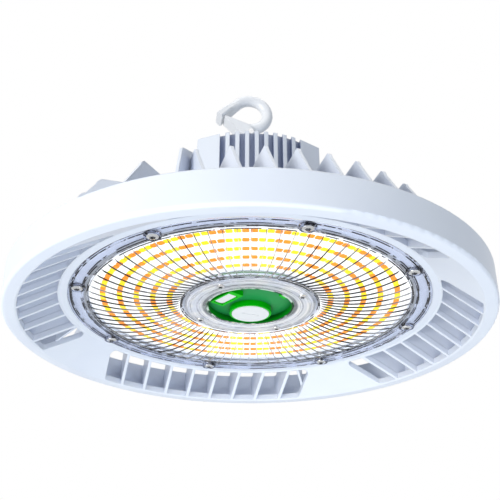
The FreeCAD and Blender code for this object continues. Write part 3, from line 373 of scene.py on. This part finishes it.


# Painted shade: in the screw recesses and close corners the zinc turns near black.
bright_zinc = moulded("bright_zinc", (0.78, 0.79, 0.81), (0.90, 0.91, 0.92), 0.22, 0.3, 0.01, 2.0, 1.0,
                      crease_shade_tone=(0.06, 0.06, 0.07), crease_mm=2.0)
for node in ("latch_pin", "latch_spring", "hook_washer", "hook_nut"):
    dress(node, bright_zinc)
white_lacquer = moulded("white_lacquer", (0.80, 0.81, 0.82), (0.86, 0.87, 0.88), 0.4, 0.4, 0.01, 2.0)
add_screws("lens_screws", LENS_SCREW_COUNT, 2.0, 3.8, 2.3, bright_zinc)
add_screws("lens_inner_screws", 4, 1.5, 2.6, 1.8, bright_zinc)
add_screws("board_screws", 8, 1.5, 2.4, 1.4, white_lacquer)
add_screws("housing_screws", 6, 2.0, 3.6, 2.6, bright_zinc, heads_up=True)
add_screws("driver_screws", 4, 1.5, 2.4, 1.4, bright_zinc, heads_up=True)


# LED board: aluminium-cored laminate under a white solder mask, with twin-chip packages
# soldered on in five rings. Each chip is a small square block filled with phosphor, orange or
# yellow, and its face swells a little.
CHIP_LENGTH_MM = 4.3
CHIP_WIDTH_MM = 3.8
CHIP_PITCH_MM = 5.1
CHIP_SIDES = 16
CHIP_SQUARENESS = 0.35
PACKAGE_COUNT = 120


def chip_points(height):
    """Rings of one chip: a rounded square, where each side's cosine is drawn out by a power."""
    angle = 2.0 * math.pi * (np.arange(CHIP_SIDES) + 0.5) / CHIP_SIDES
    x = np.sign(np.cos(angle)) * np.abs(np.cos(angle)) ** CHIP_SQUARENESS * CHIP_WIDTH_MM * MM / 2
    y = np.sign(np.sin(angle)) * np.abs(np.sin(angle)) ** CHIP_SQUARENESS * CHIP_LENGTH_MM * MM / 2
    rings = [(0.02, -1.0), (0.6, -0.97), (0.9, -0.86), (1.0, -0.72), (1.0, 0.0), (0.02, 0.0)]
    return np.array([np.stack([x * share, y * share, 0.0 * x + level * height], axis=-1)
                     for share, level in rings])


def add_chips(node, material):
    """Two chips in place of each plain package, side by side round the ring."""
    low, high = solid_spans(node, PACKAGE_COUNT)
    middle = (low + high) / 2
    chip = chip_points(high[0, 2] - low[0, 2])
    heading = np.arctan2(middle[:, 1], middle[:, 0])
    points = []
    for shift in (-0.5, 0.5):
        x = chip[None, ..., 0]
        y = chip[None, ..., 1] + shift * CHIP_PITCH_MM * MM
        cosine = np.cos(heading)[:, None, None]
        sine = np.sin(heading)[:, None, None]
        points.append(np.stack([x * cosine - y * sine + middle[:, 0, None, None],
                                x * sine + y * cosine + middle[:, 1, None, None],
                                0.0 * x * cosine + chip[None, ..., 2] + high[:, 2, None, None]], axis=-1))
    points = np.concatenate(points).reshape(-1, 3)
    faces = [grid_faces(len(chip), CHIP_SIDES, start=start)
             for start in range(0, len(points), chip.shape[0] * CHIP_SIDES)]
    add_piece(node + "_chips", points, np.concatenate(faces), node, material)


dress("led_board", moulded("white_solder_mask", (0.93, 0.94, 0.93), (0.95, 0.95, 0.94), 0.5, 0.5, 0.01, 20.0))
add_chips("leds_warm",
          moulded("orange_phosphor", (0.86, 0.22, 0.005), (0.92, 0.30, 0.01), 0.5, 0.4, 0.01, 1.5))
add_chips("leds_cool",
          moulded("yellow_phosphor", (0.93, 0.62, 0.0), (0.98, 0.72, 0.005), 0.5, 0.4, 0.01, 1.5))


# Lens cover: one clear polycarbonate moulding, held by the screws. Its window swells downwards
# over the LEDs and has eighty thin radial ribs. The ribs' steep sides and dashes along the raised
# rings are painted near black, a painted shade that stands in for refraction in the clear plastic,
# darker where they face the view. The flanges have raised rings, milky ones at the bay, and each
# outer screw sits in a raised boss. The flanges are tinted greyer than the window as painted shade,
# and the milky rings drift between beige and grey patches as painted reflection.
RIB_COUNT = 80
RIB_HEIGHT_MM = 0.95
RIB_HALF_MM = 0.26
RIB_FADE_MM = 1.5
RIB_GAP_SHARES = (0.2, 0.5, 0.8)
FLANGE_MM = 3.0
WINDOW_MM = (48.4, 110.4)
WINDOW_SKIN_MM = 2.0
WINDOW_RIM_MM = 1.4
WINDOW_FILLET_MM = 0.7
WINDOW_STEPS = (33, 17)
DOME_MM = 4.7
RING_LINES_MM = (36.6, 41.5, 47.6, 111.2, 114.6, 122.0)
RING_HALF_MM = 0.6
RING_DEPTH_MM = 0.4
RING_LINE_MM = (0.45, 0.6)
RIB_FOOT_MM = 4.0
RIB_FOOT_SHARE = 0.45
RIB_PATCH_MM = 24.0
RIB_PATCH_LEVELS = (0.4, 0.55)
RIB_PATCH_SHARE = 0.6
RIB_VIEW_LEVELS = (0.45, 0.85)
RIB_VIEW_SHARES = (0.97, 0.42)
DASH_MM = 9.0
DASH_LEVELS = (0.455, 0.475)
STEEP_LEVEL = 0.7
PAINTED_LINE_TONE = (0.012, 0.012, 0.015)
CLEAR_TINT = (1.0, 1.0, 1.0)
FLANGE_SHADE_TINT = (0.69, 0.71, 0.78)
FLANGE_BEND = 1.25
WINDOW_BEND = 1.06
MILKY_MM = 44.0
MILKY_PATCH_MM = 14.0
MILKY_PATCH_LEVELS = (0.42, 0.58)
MILKY_LINE_SHARE = 0.3
MILKY_SHARES = (0.3, 0.8)
MILKY_REFLECTION_TINTS = ((0.93, 0.90, 0.84), (0.76, 0.77, 0.80))
STREAK_MM = 3.0
STREAK_LEVELS = (0.44, 0.56)
BOSS_MM = (4.2, 5.6)
BOSS_DEPTH_MM = 1.6
BOSS_SIDES = 24


def arc_height(radius, low_mm, high_mm, sag_mm):
    """Height of a circular arc that hangs sag_mm below the chord between two radii, in mm."""
    half = (high_mm - low_mm) / 2
    arc = (half * half + sag_mm * sag_mm) / (2 * sag_mm)
    along = np.clip(radius - (low_mm + high_mm) / 2, -half, half)
    return (arc - sag_mm) - np.sqrt(arc * arc - along * along)


def lens_points():
    """Closed rings of the lens, one row for each place round its section.

    Below, the height is the flange less the rings' triangles, less the window's circular arc,
    less the ribs' triangles. A rib's corners lie a fixed distance to each side of its line, and
    the columns between two ribs at fixed shares of the way across. Above, the flange is flat
    and the window follows its own arc, one skin higher.
    """
    corners = node_points("lens_cover") / MM
    spans = np.hypot(corners[:, 0], corners[:, 1])
    inner, outer, top = spans.min(), spans.max(), corners[:, 2].max()
    flange_low = top - FLANGE_MM
    ring_places = [ring + step for ring in RING_LINES_MM for step in (-RING_HALF_MM, 0.0, RING_HALF_MM)]
    window_places = np.linspace(WINDOW_MM[0], WINDOW_MM[1], WINDOW_STEPS[0])
    below = np.unique(np.round(np.concatenate([[inner, outer], ring_places, window_places,
                                               [WINDOW_MM[0] + WINDOW_FILLET_MM,
                                                WINDOW_MM[1] - WINDOW_FILLET_MM]]), 3))
    hollow = (WINDOW_MM[0] + WINDOW_RIM_MM, WINDOW_MM[1] - WINDOW_RIM_MM)
    above = np.concatenate([[outer], np.linspace(hollow[1], hollow[0], WINDOW_STEPS[1]), [inner]])
    pitch = 2 * math.pi / RIB_COUNT
    shares = np.array((0.0, 0.0) + RIB_GAP_SHARES + (1.0,))
    sides = np.array((0.0, 1.0) + (0.0,) * len(RIB_GAP_SHARES) + (-1.0,)) * RIB_HALF_MM
    tips = (np.arange(len(shares)) == 0) * RIB_HEIGHT_MM
    columns = (np.arange(RIB_COUNT)[:, None] + 0.5 + shares[None, :]).reshape(-1) * pitch
    rings = np.zeros(len(below))
    for ring in RING_LINES_MM:
        rings += RING_DEPTH_MM * np.clip(1.0 - np.abs(below - ring) / RING_HALF_MM, 0.0, 1.0)
    low = flange_low - rings + arc_height(below, *WINDOW_MM, DOME_MM)
    fade = np.clip(np.minimum(below - WINDOW_MM[0], WINDOW_MM[1] - below) / RIB_FADE_MM, 0.0, 1.0)
    low = low[:, None] - fade[:, None] * np.tile(tips, RIB_COUNT)[None, :]
    high = top + arc_height(above, *hollow, FLANGE_MM + DOME_MM - WINDOW_SKIN_MM)
    radius = np.concatenate([below, above])[:, None] + 0.0 * columns[None, :]
    height = np.concatenate([low, high[:, None] + 0.0 * columns[None, :]])
    angle = columns[None, :] + np.tile(sides, RIB_COUNT)[None, :] / radius
    points = np.stack([radius * np.cos(angle), radius * np.sin(angle), height], axis=-1)
    return points * MM, flange_low * MM


def boss_points(x, y, seat):
    """Closed rings of one boss: a rounded square section turned about the screw."""
    angle = 2.0 * math.pi * np.arange(BOSS_SIDES) / BOSS_SIDES
    wall = BOSS_MM[1] - BOSS_MM[0]
    section = [(BOSS_MM[0] + wall / 2, 0.3), (BOSS_MM[0], 0.2), (BOSS_MM[0] + 0.15, -BOSS_DEPTH_MM + 0.3),
               (BOSS_MM[0] + 0.4, -BOSS_DEPTH_MM), (BOSS_MM[1] - 0.4, -BOSS_DEPTH_MM),
               (BOSS_MM[1] - 0.15, -BOSS_DEPTH_MM + 0.3), (BOSS_MM[1], 0.2)]
    return np.array([np.stack([x + radius * MM * np.cos(angle), y + radius * MM * np.sin(angle),
                               seat + height * MM + 0.0 * angle], axis=-1) for radius, height in section])


def from_axis(tree_nodes, links):
    """Distance of a point from the light's axis, its height, and how level its face is, 0 to 1."""
    place = tree_nodes.new("ShaderNodeTexCoord")
    split = tree_nodes.new("ShaderNodeSeparateXYZ")
    links.new(place.outputs["Object"], split.inputs[0])
    x, y = split.outputs["X"], split.outputs["Y"]
    squares = maths(tree_nodes, links, "MULTIPLY_ADD", y, y, maths(tree_nodes, links, "MULTIPLY", x, x))
    upright = tree_nodes.new("ShaderNodeSeparateXYZ")
    links.new(place.outputs["Normal"], upright.inputs[0])
    return (maths(tree_nodes, links, "SQRT", squares), split.outputs["Z"],
            maths(tree_nodes, links, "ABSOLUTE", upright.outputs["Z"]))


def patchy(tree_nodes, links, size_mm, low, high, start=0.0, end=1.0):
    """Value that goes from start to end where a noise of size_mm rises from low to high."""
    noise = noise_at(tree_nodes, links, size_mm)
    return ramped(tree_nodes, links, noise.outputs["Fac"], low, high, start, end)


def clear_polycarbonate():
    """Clear plastic with painted shade at the ribs' steep sides and in dashes along the rings, milky within.
    """
    material, tree_nodes, links, shader = new_material("clear_polycarbonate", CLEAR_TINT, 0.04)
    radius, _, level = from_axis(tree_nodes, links)
    inside = maths(tree_nodes, links, "MULTIPLY",
                   maths(tree_nodes, links, "GREATER_THAN", radius, WINDOW_MM[0] * MM),
                   maths(tree_nodes, links, "LESS_THAN", radius, WINDOW_MM[1] * MM))
    shader.inputs["IOR"].default_value = WINDOW_BEND
    links.new(ramped(tree_nodes, links, inside, 0.0, 1.0, FLANGE_BEND, WINDOW_BEND),
              shader.inputs["IOR"])
    steep = maths(tree_nodes, links, "LESS_THAN", level, STEEP_LEVEL)
    facing = tree_nodes.new("ShaderNodeLayerWeight")
    facing.inputs["Blend"].default_value = 0.5
    depth = ramped(tree_nodes, links, facing.outputs["Facing"], *RIB_VIEW_LEVELS, *RIB_VIEW_SHARES)
    patches = patchy(tree_nodes, links, RIB_PATCH_MM, *RIB_PATCH_LEVELS, RIB_PATCH_SHARE)
    foot = ramped(tree_nodes, links, radius, WINDOW_MM[0] * MM, (WINDOW_MM[0] + RIB_FOOT_MM) * MM,
                  RIB_FOOT_SHARE)
    ribs = maths(tree_nodes, links, "MULTIPLY", maths(tree_nodes, links, "MULTIPLY", inside, steep),
                 maths(tree_nodes, links, "MULTIPLY", depth,
                       maths(tree_nodes, links, "MULTIPLY", patches, foot)))
    nearest = None
    for ring in RING_LINES_MM:
        away = maths(tree_nodes, links, "ABSOLUTE", maths(tree_nodes, links, "SUBTRACT", radius, ring * MM))
        nearest = away if nearest is None else maths(tree_nodes, links, "MINIMUM", nearest, away)
    lines = ramped(tree_nodes, links, nearest, RING_LINE_MM[0] * MM, RING_LINE_MM[1] * MM, 1.0, 0.0)
    dashes = patchy(tree_nodes, links, DASH_MM, *DASH_LEVELS)
    strong = ramped(tree_nodes, links, radius, (MILKY_MM + 1.0) * MM, (MILKY_MM + 2.0) * MM,
                    MILKY_LINE_SHARE)
    rings = maths(tree_nodes, links, "MULTIPLY", maths(tree_nodes, links, "MULTIPLY", lines, dashes), strong)
    # Painted shade: near black on the ribs' steep sides and in dashes along the rings.
    dark = maths(tree_nodes, links, "MAXIMUM", ribs, rings)
    across = tree_nodes.new("ShaderNodeCombineXYZ")
    links.new(radius, across.inputs["X"])
    streaks = tree_nodes.new("ShaderNodeTexNoise")
    streaks.inputs["Scale"].default_value = 1.0 / (STREAK_MM * MM)
    links.new(across.outputs[0], streaks.inputs["Vector"])
    milky = maths(tree_nodes, links, "MULTIPLY",
                  ramped(tree_nodes, links, radius, MILKY_MM * MM, (MILKY_MM + 1.0) * MM, 1.0, 0.0),
                  ramped(tree_nodes, links, streaks.outputs["Fac"], *STREAK_LEVELS, *MILKY_SHARES))
    # The milkiness is frosting of the moulding; its tint drifting between beige and grey is painted
    # reflection.
    milky_patches = patchy(tree_nodes, links, MILKY_PATCH_MM, *MILKY_PATCH_LEVELS)
    milky_reflection_tint = blended(tree_nodes, links, milky_patches, *MILKY_REFLECTION_TINTS)
    # Painted shade: the flanges are tinted greyer and bluer than the clear window.
    tint = blended(tree_nodes, links, inside, FLANGE_SHADE_TINT, CLEAR_TINT)
    tint = blended(tree_nodes, links, milky, tint, milky_reflection_tint)
    links.new(blended(tree_nodes, links, dark, tint, PAINTED_LINE_TONE), shader.inputs["Base Color"])
    links.new(maths(tree_nodes, links, "SUBTRACT", 1.0, maths(tree_nodes, links, "MAXIMUM", dark, milky)),
              shader.inputs["Transmission Weight"])
    path = tree_nodes.new("ShaderNodeLightPath")
    links.new(maths(tree_nodes, links, "SUBTRACT", 1.0, path.outputs["Is Shadow Ray"]),
              shader.inputs["Alpha"])
    rippled(tree_nodes, links, shader, 3.0, 0.01)
    return material


lens_rings, lens_seat = lens_points()
lens_shape = [lens_rings.reshape(-1, 3)]
lens_faces = [grid_faces(lens_rings.shape[0], lens_rings.shape[1], closed_rows=True)]
screw_low, screw_high = solid_spans("lens_screws", LENS_SCREW_COUNT)
for middle in (screw_low + screw_high) / 2:
    boss = boss_points(middle[0], middle[1], lens_seat)
    lens_faces.append(grid_faces(boss.shape[0], BOSS_SIDES, closed_rows=True,
                                 start=sum(len(shape) for shape in lens_shape)))
    lens_shape.append(boss.reshape(-1, 3))
add_piece("lens_cover_ribbed", np.concatenate(lens_shape), np.concatenate(lens_faces), "lens_cover",
          clear_polycarbonate())


# Lens seals: two flat rings of pale silicone rubber under the lens's flanges. They lie in the
# seat of the casting and round the control bay, and the lens screws press them.
pale_silicone = moulded("pale_silicone", (0.72, 0.73, 0.74), (0.78, 0.79, 0.80), 0.6, 0.5, 0.02, 5.0)
dress("lens_seal_outer", pale_silicone)
dress("lens_seal_inner", pale_silicone)


# Control bay: one satin green moulding in the middle of the lens. Its deep ceiling is painted a
# darker, greyer green as painted shade, its collar and frame a brighter green as painted light,
# the ceiling and skirt darken near the walls as painted shade, and its narrow rim carries dark and
# pale patches as a painted reflection of the lens's edge.
BAY_SHADED_CEILING = (0.022, 0.33, 0.085)
BAY_LIT_WALL = (0.0, 0.56, 0.004)
BAY_SHADE = (0.0, 0.06, 0.01)
BAY_LIT_CREASE = (0.0, 0.44, 0.003)
BAY_RIM_REFLECTION = ((0.01, 0.05, 0.02), (0.62, 0.72, 0.64))
BAY_EDGE_MM = 12.0
BAY_EDGE_LEVELS = (0.46, 0.54)
BAY_DEEP_MM = (19.5, 20.5)
BAY_SKIRT_MM = (28.4, 28.6)
BAY_CREASE_MM = 15.0
BAY_SHEEN = 0.1


def green_moulding():
    """Green plastic in a painted lit wall tone, a painted shaded ceiling tone where level and deep, and a
    painted rim reflection.
    """
    material, tree_nodes, links, shader = new_material("green_moulding", BAY_LIT_WALL, 0.3)
    radius, height, upright = from_axis(tree_nodes, links)
    level = ramped(tree_nodes, links, upright, 0.5, 0.9)
    deep = ramped(tree_nodes, links, height, BAY_DEEP_MM[0] * MM, BAY_DEEP_MM[1] * MM)
    ceiling = maths(tree_nodes, links, "MULTIPLY", level, deep)
    skirt = ramped(tree_nodes, links, radius, BAY_SKIRT_MM[0] * MM, BAY_SKIRT_MM[1] * MM)
    rim = maths(tree_nodes, links, "MULTIPLY", skirt, maths(tree_nodes, links, "SUBTRACT", level, ceiling))
    # Painted reflection: dark and pale patches on the bay's rim.
    rim_reflection_patches = patchy(tree_nodes, links, BAY_EDGE_MM, *BAY_EDGE_LEVELS)
    edge = blended(tree_nodes, links, rim_reflection_patches, *BAY_RIM_REFLECTION)
    tone = blended(tree_nodes, links, ceiling, BAY_LIT_WALL, BAY_SHADED_CEILING)
    links.new(blended(tree_nodes, links, rim, tone, edge), shader.inputs["Base Color"])
    # Painted shade: ceiling and skirt darken near the walls, while collar and frame keep a painted lit green.
    hollow = blended(tree_nodes, links, maths(tree_nodes, links, "MAXIMUM", ceiling, skirt), BAY_LIT_CREASE,
                     BAY_SHADE)
    painted_crease_shade(tree_nodes, links, shader, hollow, BAY_CREASE_MM)
    rippled(tree_nodes, links, shader, 0.6, 0.015)
    shader.inputs["Specular IOR Level"].default_value = BAY_SHEEN
    return material


dress("bay_cup", green_moulding())


# Cap and insulator: white satin mouldings. The round cap screws into the bay's collar with a
# coin, and the insulator is pressed into the green frame beside it.
white_plastic = moulded("white_plastic", (0.86, 0.88, 0.88), (0.90, 0.91, 0.91), 0.3, 0.6, 0.015, 8.0,
                        edge_mm=0.3)
dress("bay_cap", white_plastic)
dress("selector_block", white_plastic)


# Seals, gaskets and bush: dark silicone rubber, cut from sheet or moulded. They lie under the
# cap, behind the bay, under the driver housing, in the cable gland and round the LED leads.
dark_silicone = moulded("dark_silicone", (0.035, 0.035, 0.04), (0.06, 0.06, 0.065), 0.7, 0.5, 0.02, 5.0)
for node in ("bay_cap_seal", "bay_gasket", "lead_grommet", "housing_gasket", "gland_seal"):
    dress(node, dark_silicone)


# Sensor socket with its leads, cable gland and vent plug: matt black nylon mouldings. The socket
# is clamped between the bay and the casting, and the gland and plug screw into the roof.
black_plastic = moulded("black_plastic", (0.03, 0.03, 0.033), (0.05, 0.05, 0.055), 0.5, 0.5, 0.02, 8.0)
for node in ("sensor_socket", "sensor_leads", "gland_body", "gland_nut", "gland_locknut",
             "breather_valve"):
    dress(node, black_plastic)


# Heat-conducting sheet and LED leads: a soft grey filled sheet is pressed between the LED board
# and the casting, and two red insulated wires are soldered to the board and to the driver.
dress("thermal_pad", moulded("grey_pad", (0.40, 0.42, 0.45), (0.48, 0.50, 0.53), 0.8, 0.4, 0.03, 4.0))
dress("led_leads", moulded("red_insulation", (0.5, 0.03, 0.02), (0.6, 0.05, 0.03), 0.45, 0.5, 0.01, 4.0))


# Driver: a round green laminate board, screwed to four cast posts inside the housing. It
# carries a transformer wound with yellow tape and three capacitors in dark shrunk sleeves.
dress("driver_board", moulded("green_laminate", (0.02, 0.16, 0.06), (0.03, 0.22, 0.09), 0.4, 0.4, 0.01, 9.0))
dress("driver_transformer", moulded("winding_tape", (0.60, 0.45, 0.06), (0.70, 0.55, 0.10), 0.45, 0.5, 0.02,
                                    6.0))
dress("driver_capacitors", moulded("capacitor_sleeve", (0.04, 0.05, 0.07), (0.06, 0.07, 0.10), 0.35, 0.5,
                                   0.01, 6.0))
